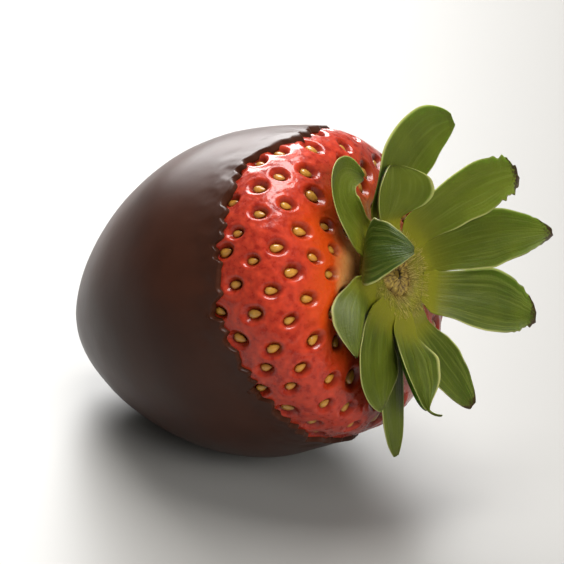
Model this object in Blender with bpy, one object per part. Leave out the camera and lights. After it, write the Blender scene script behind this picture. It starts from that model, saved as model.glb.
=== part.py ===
# Chocolate coated strawberry, lying on its side on the flat spot where its coat set.
# Metres, +Z up. The fruit is modelled upright on its own axis, tip down, and then laid over.
# Heights run along that axis, from just outside the coat's tip towards the leaves. Angles run
# round it: 0 is the side that ends up on top, and 90 degrees is the far side, towards +Y.

import math
from dataclasses import dataclass

import bmesh
import bpy
from mathutils import Vector

MM = 0.001

# The pose: the leafy end is raised, and a flat spot is cut off the lowest part of the coat.
AXIS_LIFT = math.radians(27.0)
FOOT_DEPTH = 0.6 * MM
CUTTER_SIZE = 90.0 * MM

# The fruit. Its widest ring is two thirds of the way up, with a full shoulder above it.
FRUIT_TIP = 2.8 * MM
WIDEST_HEIGHT = 33.3 * MM
FRUIT_TOP = 50.5 * MM
FRUIT_RADIUS = 19.4 * MM
FRUIT_SHOULDER = 6.0
FRUIT_AROUND = 48
FRUIT_CONE_STEPS = 11
FRUIT_SHOULDER_STEPS = 9
TIP_TAPER = 0.36
TAPER_POWER = 2.2

# The fruit is a little oval and lobed.
OVAL_SHARE = 0.012
OVAL_ANGLE = math.radians(35.0)
LOBE_SHARE = 0.008
LOBE_ANGLE = math.radians(-25.0)

# The neck: a shallow dimple in the top, off the middle, where the calyx sits.
NECK_DROP = 0.9 * MM
NECK_HEIGHT = 49.6 * MM
DIMPLE_DEPTH = 1.4 * MM
DIMPLE_RADIUS = 13.0 * MM

# The chocolate coat: a shell over the tip and the widest ring, with a wavy rim. The rim climbs
# over the top side and dips on the near side; each swell is its angle, height and width.
GAP = 0.3 * MM
COAT_TIP = 0.9 * MM
COAT_RADIUS = 20.8 * MM
COAT_SHOULDER = 4.5
COAT_AROUND = 72
COAT_OUTER_STEPS = 15
COAT_INNER_STEPS = 13
RIM_HEIGHT = 39.7 * MM
RIM_SWELLS = (
    (math.radians(8.0), 5.2 * MM, math.radians(25.0)),
    (math.radians(278.0), -1.8 * MM, math.radians(10.0)),
)
RIM_WAVES = ((9, 0.30 * MM, 0.4), (14, 0.22 * MM, 1.9))
RIM_THICKNESS = 0.55 * MM
THINNING_HEIGHT = 12.0 * MM
LIP_HEIGHT = 0.6 * MM
LIP_SHARE = 0.5

# The calyx: a collar that the leaves grow from, with the scar of the stem in its middle.
COLLAR_OUTLINE = (
    (5.3 * MM, 0.3 * MM),
    (6.1 * MM, 0.8 * MM),
    (6.2 * MM, 1.4 * MM),
    (6.0 * MM, 2.1 * MM),
    (5.2 * MM, 2.6 * MM),
    (4.1 * MM, 2.7 * MM),
    (3.3 * MM, 2.3 * MM),
    (2.6 * MM, 1.8 * MM),
)
COLLAR_UNDER = 0.3 * MM
COLLAR_DISH = 1.6 * MM
COLLAR_AROUND = 36
STUB_OUTLINE = (
    (1.7 * MM, 1.95 * MM),
    (1.8 * MM, 2.3 * MM),
    (1.5 * MM, 2.8 * MM),
    (1.2 * MM, 3.5 * MM),
)
STUB_UNDER = 1.9 * MM
STUB_TOP = 3.3 * MM
STUB_AROUND = 20

# The leaves stand in two layers round the collar.
LEAF_ROOT = 6.6 * MM
LEAF_THICKNESS = 0.5 * MM
LOWER_LAYER = 0.8 * MM
UPPER_LAYER = 1.9 * MM
LEAF_STEPS = 10
LEAF_ACROSS = 4
ROOT_WIDTH = 0.45
TIP_WIDTH = 0.05
WIDEST_SHARE = 0.5
POINT_POWER = 1.7
POINT_ROUNDNESS = 0.75

# Linear colours and roughness of the simple finishes.
BERRY_FINISH = ((0.55, 0.04, 0.02), 0.35)
CHOCOLATE_FINISH = ((0.06, 0.025, 0.014), 0.3)
COLLAR_FINISH = ((0.19, 0.17, 0.02), 0.6)
STEM_FINISH = ((0.18, 0.13, 0.05), 0.8)
LEAF_FINISH = ((0.10, 0.13, 0.02), 0.5)


@dataclass
class Leaf:
    # Angles in degrees, sizes in millimetres. Lift is the angle above the collar's plane, and
    # turn is the angle that the leaf has swung sideways, each at its root and at its tip.
    angle: float
    length: float
    width: float
    layer: float
    lift_root: float
    lift_tip: float
    turn_root: float = 0.0
    turn_tip: float = 0.0
    bend: float = 1.0
    cup: float = 0.25


LEAVES = (
    Leaf(6, 7.8, 8.6, UPPER_LAYER, 45, 0, turn_tip=15),
    Leaf(22, 16.2, 8.0, LOWER_LAYER, 22, 28, turn_root=10, turn_tip=58, bend=1.2, cup=0.15),
    Leaf(57, 17.4, 6.2, UPPER_LAYER, 52, 12, turn_tip=52),
    Leaf(91, 18.2, 7.0, LOWER_LAYER, 46, 32, turn_tip=26),
    Leaf(133, 14.8, 8.0, UPPER_LAYER, 50, 20),
    Leaf(177, 13.2, 7.2, LOWER_LAYER, 15, 16, turn_tip=-10),
    Leaf(208, 11.8, 6.4, UPPER_LAYER, 16, 4, turn_tip=-16),
    Leaf(216, 16.5, 4.4, LOWER_LAYER, 0, -18, turn_tip=-36, cup=0.1),
    Leaf(241, 12.4, 7.6, UPPER_LAYER, 0, -10, turn_tip=-76, cup=-0.1),
    Leaf(277, 10.2, 6.0, LOWER_LAYER, 6, -16, turn_root=-10, turn_tip=-58, cup=0.0),
    Leaf(310, 8.6, 8.8, UPPER_LAYER, -10, 142, turn_tip=4, bend=0.45, cup=-0.1),
    Leaf(333, 16.6, 5.2, LOWER_LAYER, 8, -14, turn_root=-8, turn_tip=150, bend=1.3, cup=0.1),
)


def clear_scene():
    for thing in list(bpy.data.objects):
        bpy.data.objects.remove(thing, do_unlink=True)


def paint(name, finish):
    colour, roughness = finish
    material = bpy.data.materials.new(name)
    material.use_nodes = True
    shader = material.node_tree.nodes["Principled BSDF"]
    shader.inputs["Base Color"].default_value = (*colour, 1.0)
    shader.inputs["Roughness"].default_value = roughness
    shader.inputs["Metallic"].default_value = 0.0
    return material


def smooth_step(value):
    share = min(1.0, max(0.0, value))
    return share * share * (3.0 - 2.0 * share)


def mix(start, end, share):
    return start + (end - start) * share


def outline(height, tip, radius, shoulder):
    # A rounded cone up to the widest ring, then a full shoulder that closes at the top.
    if height <= WIDEST_HEIGHT:
        below = (WIDEST_HEIGHT - height) / (WIDEST_HEIGHT - tip)
        taper = 1.0 - TIP_TAPER * below ** TAPER_POWER
        return radius * taper * math.sqrt(max(0.0, 1.0 - below * below))
    above = (height - WIDEST_HEIGHT) / (FRUIT_TOP - WIDEST_HEIGHT)
    return radius * math.sqrt(max(0.0, 1.0 - above ** shoulder))


def fruit_outline(height):
    return outline(height, FRUIT_TIP, FRUIT_RADIUS, FRUIT_SHOULDER)


def coat_inner_outline(height):
    return outline(height, FRUIT_TIP - GAP, FRUIT_RADIUS + GAP, FRUIT_SHOULDER)


def coat_outline(height, rim):
    # The coat's full outline, thinning to its edge over the last stretch below the rim.
    full = outline(height, COAT_TIP, COAT_RADIUS, COAT_SHOULDER)
    edge = coat_inner_outline(height) + RIM_THICKNESS
    return mix(full, edge, smooth_step((height - rim + THINNING_HEIGHT) / THINNING_HEIGHT))


def body_point(angle, radius, height):
    # A point of the fruit or its coat, with the ovalness and the lobes.
    oval = OVAL_SHARE * math.cos(2.0 * (angle - OVAL_ANGLE))
    lobes = LOBE_SHARE * math.cos(3.0 * (angle - LOBE_ANGLE))
    reach = radius * (1.0 + oval + lobes)
    return Vector((-reach * math.cos(angle), reach * math.sin(angle), height))


def fruit_point(angle, height):
    # A point of the fruit's skin, sunk where the dimple is.
    point = body_point(angle, fruit_outline(height), height)
    if height > WIDEST_HEIGHT:
        away = math.hypot(point.x - NECK_DROP, point.y)
        point.z -= DIMPLE_DEPTH * (1.0 - smooth_step(away / DIMPLE_RADIUS))
    return point


def calyx_point(angle, radius, height):
    # A point of the calyx, whose heights are counted from the neck.
    across = NECK_DROP - radius * math.cos(angle)
    return Vector((across, radius * math.sin(angle), NECK_HEIGHT + height))


def angles_round(count):
    return [2.0 * math.pi * step / count for step in range(count)]


def add_object(name, shape, material, pose):
    shape.faces.ensure_lookup_table()
    bmesh.ops.recalc_face_normals(shape, faces=shape.faces)
    mesh = bpy.data.meshes.new(name)
    shape.to_mesh(mesh)
    shape.free()
    mesh.shade_smooth()
    mesh.materials.append(material)
    thing = bpy.data.objects.new(name, mesh)
    thing.parent = pose
    bpy.context.collection.objects.link(thing)
    return thing


def skin_rings(rings, first_pole, last_pole):
    # Quads between neighbouring rings, and a fan of triangles to a point at each end.
    shape = bmesh.new()
    loops = [[shape.verts.new(point) for point in ring] for ring in rings]
    for near, far in zip(loops, loops[1:]):
        for step in range(len(near)):
            after = (step + 1) % len(near)
            shape.faces.new((near[step], near[after], far[after], far[step]))
    for loop, point in ((loops[0], first_pole), (loops[-1], last_pole)):
        pole = shape.verts.new(point)
        for step in range(len(loop)):
            after = (step + 1) % len(loop)
            shape.faces.new((pole, loop[step], loop[after]))
    return shape


def make_fruit(pose):
    cone = WIDEST_HEIGHT - FRUIT_TIP
    shoulder = FRUIT_TOP - WIDEST_HEIGHT
    heights = []
    for step in range(1, FRUIT_CONE_STEPS + 1):
        turn = 0.5 * math.pi * step / FRUIT_CONE_STEPS
        heights.append(FRUIT_TIP + cone * (1.0 - math.cos(turn)))
    for step in range(1, FRUIT_SHOULDER_STEPS):
        turn = 0.5 * math.pi * step / FRUIT_SHOULDER_STEPS
        heights.append(WIDEST_HEIGHT + shoulder * math.sin(turn) ** (2.0 / FRUIT_SHOULDER))
    angles = angles_round(FRUIT_AROUND)
    rings = [[fruit_point(angle, height) for angle in angles] for height in heights]
    shape = skin_rings(rings, fruit_point(0.0, FRUIT_TIP), fruit_point(0.0, FRUIT_TOP))
    return add_object("berry", shape, paint("berry_flesh", BERRY_FINISH), pose)


def rim_height(angle):
    height = RIM_HEIGHT
    for middle, size, width in RIM_SWELLS:
        away = math.remainder(angle - middle, 2.0 * math.pi) / width
        height += size * math.exp(-away * away)
    for count, size, phase in RIM_WAVES:
        height += size * math.cos(count * angle + phase)
    return height


def make_coat(pose):
    # One closed shell: up the outside, over a rounded lip, and down the inside.
    angles = angles_round(COAT_AROUND)
    rings = []
    for step in range(1, COAT_OUTER_STEPS + 1):
        share = 1.0 - math.cos(0.5 * math.pi * step / COAT_OUTER_STEPS)
        ring = []
        for angle in angles:
            rim = rim_height(angle)
            height = mix(COAT_TIP, rim - LIP_HEIGHT, share)
            ring.append(body_point(angle, coat_outline(height, rim), height))
        rings.append(ring)
    lip = []
    for angle in angles:
        rim = rim_height(angle)
        inside = coat_inner_outline(rim)
        lip.append(body_point(angle, mix(inside, coat_outline(rim, rim), LIP_SHARE), rim))
    rings.append(lip)
    inner_tip = FRUIT_TIP - GAP
    for step in range(COAT_INNER_STEPS, 0, -1):
        # Close rings at both ends keep the gap even where the fruit curves most.
        share = 0.5 - 0.5 * math.cos(math.pi * step / COAT_INNER_STEPS)
        ring = []
        for angle in angles:
            height = mix(inner_tip, rim_height(angle) - 0.5 * LIP_HEIGHT, share)
            ring.append(body_point(angle, coat_inner_outline(height), height))
        rings.append(ring)
    shape = skin_rings(rings, body_point(0.0, 0.0, COAT_TIP), body_point(0.0, 0.0, inner_tip))
    return add_object("chocolate_coat", shape, paint("chocolate", CHOCOLATE_FINISH), pose)


def make_turned(name, profile, under, top, around, material, pose):
    angles = angles_round(around)
    rings = [[calyx_point(a, radius, height) for a in angles] for radius, height in profile]
    shape = skin_rings(rings, calyx_point(0.0, 0.0, under), calyx_point(0.0, 0.0, top))
    return add_object(name, shape, material, pose)


def leaf_width(share):
    # Narrow at the root, widest near the middle and pointed at the tip.
    if share < WIDEST_SHARE:
        return mix(ROOT_WIDTH, 1.0, smooth_step(share / WIDEST_SHARE))
    past = (share - WIDEST_SHARE) / (1.0 - WIDEST_SHARE)
    return max(TIP_WIDTH, (1.0 - past ** POINT_POWER) ** POINT_ROUNDNESS)


def leaf_rows(leaf):
    # The leaf's middle surface, in steps along its spine. The frame at its root has
    # X out from the collar, Y round it and Z along the fruit's axis.
    step_length = leaf.length * MM / LEAF_STEPS
    spine = Vector((LEAF_ROOT, 0.0, leaf.layer))
    rows = []
    for step in range(LEAF_STEPS + 1):
        share = step / LEAF_STEPS
        swing = share ** leaf.bend
        lift = math.radians(mix(leaf.lift_root, leaf.lift_tip, swing))
        turn = math.radians(mix(leaf.turn_root, leaf.turn_tip, swing))
        flat = Vector((math.cos(turn), math.sin(turn), 0.0))
        side = Vector((-math.sin(turn), math.cos(turn), 0.0))
        along = flat * math.cos(lift) + Vector((0.0, 0.0, math.sin(lift)))
        if step > 0:
            spine = spine + (along + before) * (0.5 * step_length)
        before = along
        half = 0.5 * leaf.width * MM * leaf_width(share)
        row = []
        for place in range(LEAF_ACROSS + 1):
            across = 2.0 * place / LEAF_ACROSS - 1.0
            rise = along.cross(side) * (leaf.cup * half * across * across)
            row.append(spine + side * (half * across) + rise)
        rows.append(row)
    return rows


def make_leaf(name, leaf, material, pose):
    angle = math.radians(leaf.angle)
    out = Vector((-math.cos(angle), math.sin(angle), 0.0))
    around = Vector((math.sin(angle), math.cos(angle), 0.0))
    centre = calyx_point(0.0, 0.0, 0.0)
    shape = bmesh.new()
    rows = []
    for row in leaf_rows(leaf):
        points = [centre + out * p.x + around * p.y + Vector((0.0, 0.0, p.z)) for p in row]
        rows.append([shape.verts.new(point) for point in points])
    for near, far in zip(rows, rows[1:]):
        for place in range(LEAF_ACROSS):
            shape.faces.new((near[place], near[place + 1], far[place + 1], far[place]))
    thing = add_object(name, shape, material, pose)
    wall = thing.modifiers.new("thickness", "SOLIDIFY")
    wall.thickness = LEAF_THICKNESS
    wall.offset = 0.0
    return thing


def world_corners(things):
    points = [thing.matrix_world @ vertex.co for thing in things for vertex in thing.data.vertices]
    low = Vector([min(point[axis] for point in points) for axis in range(3)])
    high = Vector([max(point[axis] for point in points) for axis in range(3)])
    return low, high


def lay_down(pose, coat, things):
    # The lowest part of the coat goes the foot's depth below the floor, and the middle of
    # the whole goes over the origin.
    bpy.context.view_layer.update()
    low, high = world_corners(things)
    coat_bottom = world_corners([coat])[0].z
    pose.location = (
        -0.5 * (low.x + high.x),
        -0.5 * (low.y + high.y),
        -coat_bottom - FOOT_DEPTH,
    )
    bpy.context.view_layer.update()


def cut_foot(coat):
    shape = bmesh.new()
    bmesh.ops.create_cube(shape, size=CUTTER_SIZE)
    mesh = bpy.data.meshes.new("foot_cutter")
    shape.to_mesh(mesh)
    shape.free()
    cutter = bpy.data.objects.new("foot_cutter", mesh)
    cutter.location.z = -0.5 * CUTTER_SIZE
    cutter.hide_render = True
    cutter.display_type = "WIRE"
    bpy.context.collection.objects.link(cutter)
    foot = coat.modifiers.new("foot", "BOOLEAN")
    foot.operation = "DIFFERENCE"
    foot.object = cutter


def main():
    clear_scene()
    pose = bpy.data.objects.new("laid_over", None)
    pose.rotation_euler.y = 0.5 * math.pi - AXIS_LIFT
    bpy.context.collection.objects.link(pose)

    coat = make_coat(pose)
    things = [make_fruit(pose), coat]
    collar_paint = paint("collar_green", COLLAR_FINISH)
    things.append(make_turned(
        "calyx_collar", COLLAR_OUTLINE, COLLAR_UNDER, COLLAR_DISH, COLLAR_AROUND, collar_paint, pose))
    stub_paint = paint("dry_stem", STEM_FINISH)
    things.append(make_turned(
        "stem_stub", STUB_OUTLINE, STUB_UNDER, STUB_TOP, STUB_AROUND, stub_paint, pose))
    for number, leaf in enumerate(LEAVES, start=1):
        leaf_paint = paint(f"leaf_green_{number:02d}", LEAF_FINISH)
        things.append(make_leaf(f"sepal_{number:02d}", leaf, leaf_paint, pose))

    lay_down(pose, coat, things)
    cut_foot(coat)


main()
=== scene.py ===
# Looks of the chocolate coated strawberry: the pitted skin and its seeds, the dipped chocolate,
# the calyx with its scar and hairs, and the twelve leaves. Shapes are modelled in millimetres on
# the fruit's own axis, tip down, and then laid over onto the flat spot, as the frame has them.
# Angles run round that axis: 0 is the side that ends up on top, and 90 degrees the far side.

import math

import bpy
import numpy as np
from mathutils import Matrix, Vector, noise


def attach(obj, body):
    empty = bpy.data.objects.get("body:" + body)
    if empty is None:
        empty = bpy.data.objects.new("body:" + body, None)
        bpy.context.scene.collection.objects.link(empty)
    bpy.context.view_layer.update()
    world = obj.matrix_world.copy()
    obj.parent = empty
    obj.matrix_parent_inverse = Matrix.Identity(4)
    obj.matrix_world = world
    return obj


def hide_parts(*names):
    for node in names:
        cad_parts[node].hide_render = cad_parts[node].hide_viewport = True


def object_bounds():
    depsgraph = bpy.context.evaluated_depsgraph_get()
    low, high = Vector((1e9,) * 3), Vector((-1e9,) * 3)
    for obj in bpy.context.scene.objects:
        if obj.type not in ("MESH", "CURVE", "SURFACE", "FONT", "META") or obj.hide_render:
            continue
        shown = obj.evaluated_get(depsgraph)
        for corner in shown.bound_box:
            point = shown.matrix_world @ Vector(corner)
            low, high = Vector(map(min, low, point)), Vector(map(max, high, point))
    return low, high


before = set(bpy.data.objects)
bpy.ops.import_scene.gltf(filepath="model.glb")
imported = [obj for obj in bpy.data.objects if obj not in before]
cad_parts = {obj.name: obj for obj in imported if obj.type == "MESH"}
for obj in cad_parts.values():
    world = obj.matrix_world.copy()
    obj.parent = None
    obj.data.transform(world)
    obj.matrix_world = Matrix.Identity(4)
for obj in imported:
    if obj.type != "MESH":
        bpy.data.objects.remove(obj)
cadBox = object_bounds()

pose = {
    "axisLift": 27.0,     # degrees that the leafy end is raised
    "millimetre": 0.001,
}

fruit = {
    "tip": 2.8,
    "widest": 33.3,
    "top": 50.5,
    "radius": 19.4,
    "shoulder": 6.0,      # higher is fuller above the widest ring
    "taper": 0.36,        # how much the cone draws in towards the tip
    "taperPower": 2.2,
    "oval": 0.012,
    "ovalAngle": 35.0,
    "lobes": 0.008,
    "lobeAngle": -25.0,
    "neckDrop": 0.9,      # the calyx sits a little off the middle
    "neckHeight": 49.6,
    "dimpleDepth": 1.4,
    "dimpleRadius": 13.0,
    "profileSteps": 900,
}


def tint(code):
    # An sRGB hex colour as the linear RGBA that Blender wants.
    parts = [int(code[place:place + 2], 16) / 255 for place in (1, 3, 5)]
    return tuple(p / 12.92 if p < 0.04045 else ((p + 0.055) / 1.055) ** 2.4 for p in parts) + (1,)


def connect(tree, node, links):
    # Links are a dictionary by socket name, or a list in socket order. A node stands for its
    # first open output, and anything that isn't a node or a socket is a fixed value.
    sockets = [socket for socket in node.inputs if socket.enabled]
    pairs = links.items() if isinstance(links, dict) else enumerate(links)
    for key, source in pairs:
        socket = sockets[key] if isinstance(key, int) else next(s for s in sockets if s.name == key)
        if isinstance(source, bpy.types.Node):
            source = next(output for output in source.outputs if output.enabled)
        if isinstance(source, bpy.types.NodeSocket):
            tree.links.new(source, socket)
        else:
            socket.default_value = source


def addNode(tree, kind, links=(), **settings):
    node = tree.nodes.new(kind)
    for name, value in settings.items():
        setattr(node, name, value)
    connect(tree, node, links)
    return node


def calculate(tree, operation, *values):
    return addNode(tree, "ShaderNodeMath", list(values), operation=operation)


def calculateVector(tree, operation, *values):
    return addNode(tree, "ShaderNodeVectorMath", list(values), operation=operation)


def addNoise(tree, place, scale, detail):
    return addNode(tree, "ShaderNodeTexNoise", {"Vector": place, "Scale": scale, "Detail": detail})


def addBump(tree, height, strength, distance):
    return addNode(tree, "ShaderNodeBump", {
        "Strength": strength, "Distance": distance, "Height": height})


def blend(tree, share, start, end):
    # Colours are nodes or sRGB hex codes.
    start, end = (tint(colour) if isinstance(colour, str) else colour for colour in (start, end))
    return addNode(tree, "ShaderNodeMix", {"Factor": share, "A": start, "B": end}, data_type="RGBA")


def remap(tree, value, source, result):
    return addNode(tree, "ShaderNodeMapRange", {
        "Value": value, "From Min": source[0], "From Max": source[1],
        "To Min": result[0], "To Max": result[1]})


def fade(tree, value, start, end, most=1.0):
    # Eases from 0 at the start to the most at the end.
    return addNode(tree, "ShaderNodeMapRange", {
        "Value": value, "From Min": start, "From Max": end, "To Max": most},
        interpolation_type="SMOOTHSTEP")


def readNamed(tree, name, kind):
    return addNode(tree, "GeometryNodeInputNamedAttribute", {"Name": name}, data_type=kind)


def storeNamed(tree, geometry, name, value, domain="POINT"):
    return addNode(tree, "GeometryNodeStoreNamedAttribute", {
        "Geometry": geometry, "Name": name, "Value": value}, data_type="FLOAT", domain=domain)


def smoothStep(value):
    share = np.clip(value, 0.0, 1.0)
    return share * share * (3.0 - 2.0 * share)


def mix(start, end, share):
    return start + (end - start) * share


def layOver():
    # From millimetres on the fruit's axis to the frame's metres, by the berry's own tip.
    lift = math.radians(pose["axisLift"])
    axis = Vector((math.cos(lift), 0.0, math.sin(lift)))
    tip = min((vertex.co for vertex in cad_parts["berry"].data.vertices), key=axis.dot)
    foot = tip - axis * fruit["tip"] * pose["millimetre"]
    turned = Matrix.Rotation(0.5 * math.pi - lift, 4, "Y")
    return Matrix.Translation(foot) @ turned @ Matrix.Scale(pose["millimetre"], 4)


laidOver = layOver()


def addAttributes(mesh, attributes):
    # Point attributes, each a number or a vector for every point.
    for label, values in attributes.items():
        values = np.asarray(values, np.float32)
        kind, field = ("FLOAT", "value") if values.ndim == 1 else ("FLOAT_VECTOR", "vector")
        mesh.attributes.new(label, kind, "POINT").data.foreach_set(field, values.ravel())


def addObject(name, points, faces, attributes):
    mesh = bpy.data.meshes.new(name)
    mesh.from_pydata(points.tolist(), [], faces)
    mesh.shade_smooth()
    addAttributes(mesh, attributes)
    thing = bpy.data.objects.new(name, mesh)
    bpy.context.scene.collection.objects.link(thing)
    return thing


def closedMesh(name, rows, poles, attributes):
    # rows is an array of rows by columns by 3, whose last column joins its first. The poles are
    # the points that close its first and its last row.
    count, width = rows.shape[:2]
    index = np.arange(count * width).reshape(count, width)
    after = np.roll(index, -1, axis=1)
    faces = np.stack([index[:-1], index[1:], after[1:], after[:-1]], axis=-1).reshape(-1, 4).tolist()
    first, last = count * width, count * width + 1
    for step in range(width):
        faces.append((first, int(index[0, step]), int(after[0, step])))
        faces.append((last, int(after[-1, step]), int(index[-1, step])))
    points = np.concatenate([rows.reshape(-1, 3), np.array(poles, float)])
    filled = {}
    for label, values in attributes.items():
        values = np.broadcast_to(values, (count, width))
        filled[label] = np.append(values.ravel(), (values[0, 0], values[-1, -1]))
    return addObject(name, points, faces, filled)


def startTree(name, inputs):
    tree = bpy.data.node_groups.new(name, "GeometryNodeTree")
    tree.interface.new_socket("Geometry", in_out="INPUT", socket_type="NodeSocketGeometry")
    for label, kind in inputs.items():
        tree.interface.new_socket(label, in_out="INPUT", socket_type="NodeSocket" + kind)
    tree.interface.new_socket("Geometry", in_out="OUTPUT", socket_type="NodeSocketGeometry")
    return tree, addNode(tree, "NodeGroupInput").outputs


def growMesh(thing, tree, values):
    # Runs the tree on the object once, and keeps the result as its plain mesh.
    modifier = thing.modifiers.new(tree.name, "NODES")
    modifier.node_group = tree
    for item in tree.interface.items_tree:
        if item.in_out == "INPUT" and item.name in values:
            modifier[item.identifier] = values[item.name]
    grown = thing.evaluated_get(bpy.context.evaluated_depsgraph_get())
    mesh = bpy.data.meshes.new_from_object(grown)
    thing.modifiers.remove(modifier)
    thing.data = mesh


def settle(thing, nodes=()):
    # Lays a finished piece into the frame.
    thing.data.transform(laidOver)
    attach(thing, "root")
    if nodes:
        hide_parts(*nodes)
    print("made", thing.name, len(thing.data.polygons), "faces")


def outline(height, tip, radius, shoulder):
    below = np.clip((fruit["widest"] - height) / (fruit["widest"] - tip), 0.0, 1.0)
    above = np.clip((height - fruit["widest"]) / (fruit["top"] - fruit["widest"]), 0.0, 1.0)
    cone = (1.0 - fruit["taper"] * below ** fruit["taperPower"]) * np.sqrt(1.0 - below ** 2)
    return radius * cone * np.sqrt(1.0 - above ** shoulder)


def fruitOutline(height):
    return outline(height, fruit["tip"], fruit["radius"], fruit["shoulder"])


def bodyPoints(angle, radius, height):
    oval = fruit["oval"] * np.cos(2.0 * (angle - math.radians(fruit["ovalAngle"])))
    lobes = fruit["lobes"] * np.cos(3.0 * (angle - math.radians(fruit["lobeAngle"])))
    reach = radius * (1.0 + oval + lobes)
    return np.stack([-reach * np.cos(angle), reach * np.sin(angle), height + 0.0 * reach], axis=-1)


def neckDistance(points):
    return np.hypot(points[..., 0] - fruit["neckDrop"], points[..., 1])


def fruitPoints(angle, height):
    points = bodyPoints(angle, fruitOutline(height), height)
    sunk = fruit["dimpleDepth"] * (1.0 - smoothStep(neckDistance(points) / fruit["dimpleRadius"]))
    points[..., 2] -= np.where(height > fruit["widest"], sunk, 0.0)
    return points


def fruitProfile():
    # Heights along the outline, with the distance travelled and the radius at each.
    turn = np.linspace(0.0, 0.5 * math.pi, fruit["profileSteps"])
    cone = fruit["tip"] + (fruit["widest"] - fruit["tip"]) * (1.0 - np.cos(turn))
    reach = fruit["top"] - fruit["widest"]
    shoulder = fruit["widest"] + reach * np.sin(turn) ** (2.0 / fruit["shoulder"])
    height = np.concatenate([cone, shoulder[1:]])
    radius = fruitOutline(height)
    steps = np.hypot(np.diff(height), np.diff(radius))
    return np.concatenate([[0.0], np.cumsum(steps)]), height, radius


profileLength, profileHeight, profileRadius = fruitProfile()


rim = {
    "height": 39.7,
    "swells": ((8.0, 5.2, 25.0), (278.0, -1.8, 10.0)),     # angle, height and width of each
    "waves": ((9, 0.30, 0.4), (14, 0.22, 1.9)),            # count, height and phase of each
    "fineWaves": ((31, 0.14, 0.7), (47, 0.13, 2.6), (71, 0.19, 1.1), (84, 0.13, 0.3)),
    "bayDepth": 1.0,        # the edge draws back from a seed that it just meets
    "bayWidth": 1.05,
    "bayReach": 1.5,
}


def rimHeight(angle):
    # The coat's edge without its fine detail.
    height = rim["height"] + 0.0 * angle
    for middle, size, width in rim["swells"]:
        away = np.angle(np.exp(1j * (angle - math.radians(middle)))) / math.radians(width)
        height = height + size * np.exp(-away ** 2)
    for count, size, phase in rim["waves"]:
        height = height + size * np.cos(count * angle + phase)
    return height


def edgeHeight(angle):
    # The edge itself: scalloped, and drawn back in a small bay round each seed that it meets.
    height = rimHeight(angle)
    for count, size, phase in rim["fineWaves"]:
        height = height + size * np.cos(count * angle + phase)
    for seedAngle, seedHeight in zip(seedAngles, seedHeights):
        gap = abs(seedHeight - rimHeight(seedAngle)) / rim["bayReach"]
        if gap < 1.0:
            away = np.angle(np.exp(1j * (angle - seedAngle))) * fruit["radius"] / rim["bayWidth"]
            height = height - rim["bayDepth"] * (1.0 - gap ** 2) * np.exp(-away ** 4)
    return height


seeds = {
    "firstHeight": 30.0,      # the lowest ones lie under the chocolate
    "cell": 15.5,             # square millimetres of skin for each seed
    "neckCell": 8.5,          # they crowd near the neck
    "crowding": 13.0,         # radius at which they start to crowd
    "nearestNeck": 8.0,       # no seed is closer to the calyx axis
    "goldenAngle": 137.508,
    "jitter": 0.55,
    "swing": 17.0,            # degrees that a seed turns away from the fruit's axis
    "sizes": (0.84, 1.14),
    "smallWithin": (8.0, 14.0),     # radii over which they grow from the neck outwards
    "smallSizes": (0.78, 1.0),
    "length": 1.72,
    "width": 1.0,
    "thickness": 0.66,
    "sink": 0.74,
    "pitLength": 2.3,
    "pitWidth": 1.6,
    "pitDepth": 0.78,
    "lip": 0.08,
    "cushion": 0.24,
    "covered": 0.9,           # a seed this far below the edge is under the chocolate
    "randomSeed": 7,
}


def seedPlaces():
    # A spiral by the golden angle, each turn wide enough to give every seed its patch of skin.
    # Returns the angles and heights, and the points with their directions and sizes.
    randomness = np.random.default_rng(seeds["randomSeed"])
    cell = np.interp(profileRadius, (seeds["nearestNeck"], seeds["crowding"]),
                     (seeds["neckCell"], seeds["cell"]))
    cell = np.where(profileHeight > fruit["widest"], cell, seeds["cell"])
    steps = np.diff(profileLength) * 2.0 * math.pi * profileRadius[1:] / cell[1:]
    count = np.concatenate([[0.0], np.cumsum(steps)])
    count -= np.interp(seeds["firstHeight"], profileHeight, count)
    number = np.arange(int(count[-1])) + 0.5
    along = np.interp(number, count, profileLength)
    along += randomness.uniform(-1.0, 1.0, number.size) * seeds["jitter"]
    height = np.interp(along, profileLength, profileHeight)
    radius = np.interp(along, profileLength, profileRadius)
    angle = number * math.radians(seeds["goldenAngle"])
    angle += randomness.uniform(-1.0, 1.0, number.size) * seeds["jitter"] / radius
    points = fruitPoints(angle, height)
    ahead = fruitPoints(angle, np.interp(along + 0.2, profileLength, profileHeight)) - points
    beside = fruitPoints(angle + 0.01, height) - points
    normal = np.cross(ahead, beside)
    normal /= np.linalg.norm(normal, axis=1)[:, None]
    ahead /= np.linalg.norm(ahead, axis=1)[:, None]
    beside = np.cross(normal, ahead)
    swing = randomness.normal(0.0, math.radians(seeds["swing"]), number.size)[:, None]
    grain = ahead * np.cos(swing) + beside * np.sin(swing)
    size = randomness.uniform(*seeds["sizes"], number.size)
    size *= np.interp(radius, seeds["smallWithin"], seeds["smallSizes"])
    keep = neckDistance(points) > seeds["nearestNeck"]
    attributes = {"grain": grain[keep], "outward": normal[keep], "size": size[keep]}
    return angle[keep], height[keep], points[keep], attributes


seedAngles, seedHeights, seedPoints, seedAttributes = seedPlaces()
pitPlaces = addObject("pitPlaces", seedPoints, [], seedAttributes)
print("placed", len(seedAngles), "seeds")


def addCloud(tree, place, size, amount, detail):
    # Soft noise of this many millimetres, from minus to plus half of the amount.
    scale = calculate(tree, "DIVIDE", 1.0, size)
    cloud = addNoise(tree, place, scale, detail)
    middle = calculate(tree, "SUBTRACT", cloud, 0.5)
    return calculate(tree, "MULTIPLY", middle, amount)


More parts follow.
